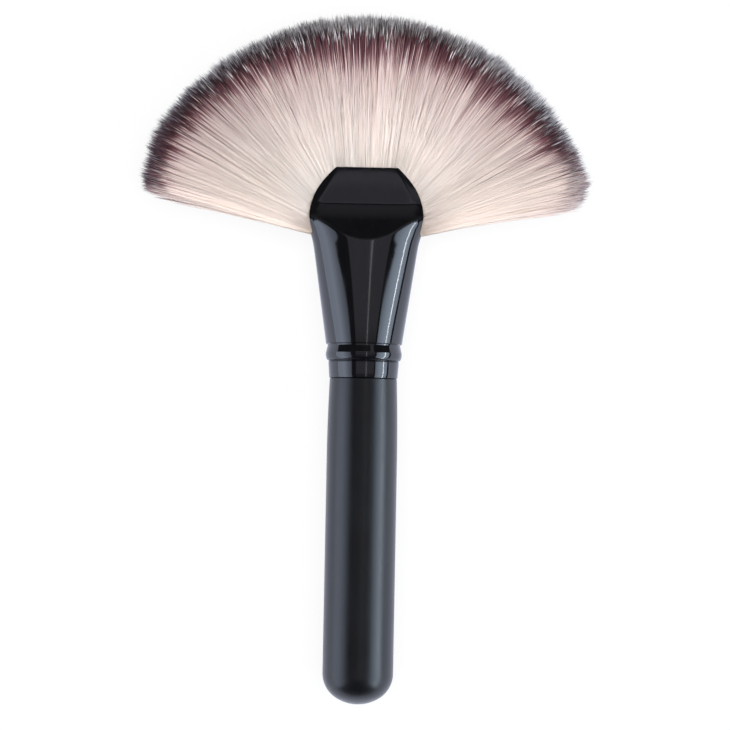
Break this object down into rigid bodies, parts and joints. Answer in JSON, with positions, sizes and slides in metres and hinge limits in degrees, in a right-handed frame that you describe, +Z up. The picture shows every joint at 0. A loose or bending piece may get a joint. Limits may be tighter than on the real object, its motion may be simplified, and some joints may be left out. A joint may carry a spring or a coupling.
{
  "type": "fan makeup brush",
  "caption": "Fan-shaped cosmetic brush with a wide half-round spread of fibres, a flattened gloss ferrule and a short turned handle.",
  "frame": {"origin": "on the surface that the brush lies on, under the middle of its bounding box", "axes": "+Y along the brush's axis from the handle's domed end to the bristle tips, +X along the fan's spread, +Z up through the fan's front face"},
  "size_m": [0.11, 0.1701, 0.0189],
  "materials": {
    "handle_lacquer": "satin",
    "ferrule_black": "gloss",
    "glue": "gloss",
    "fibre": "satin"
  },
  "bodies": {
    "root": {"handle": "handle_lacquer", "ferrule": "ferrule_black", "resin_plug": "glue", "bristles": "fibre"}
  },
  "joints": []
}
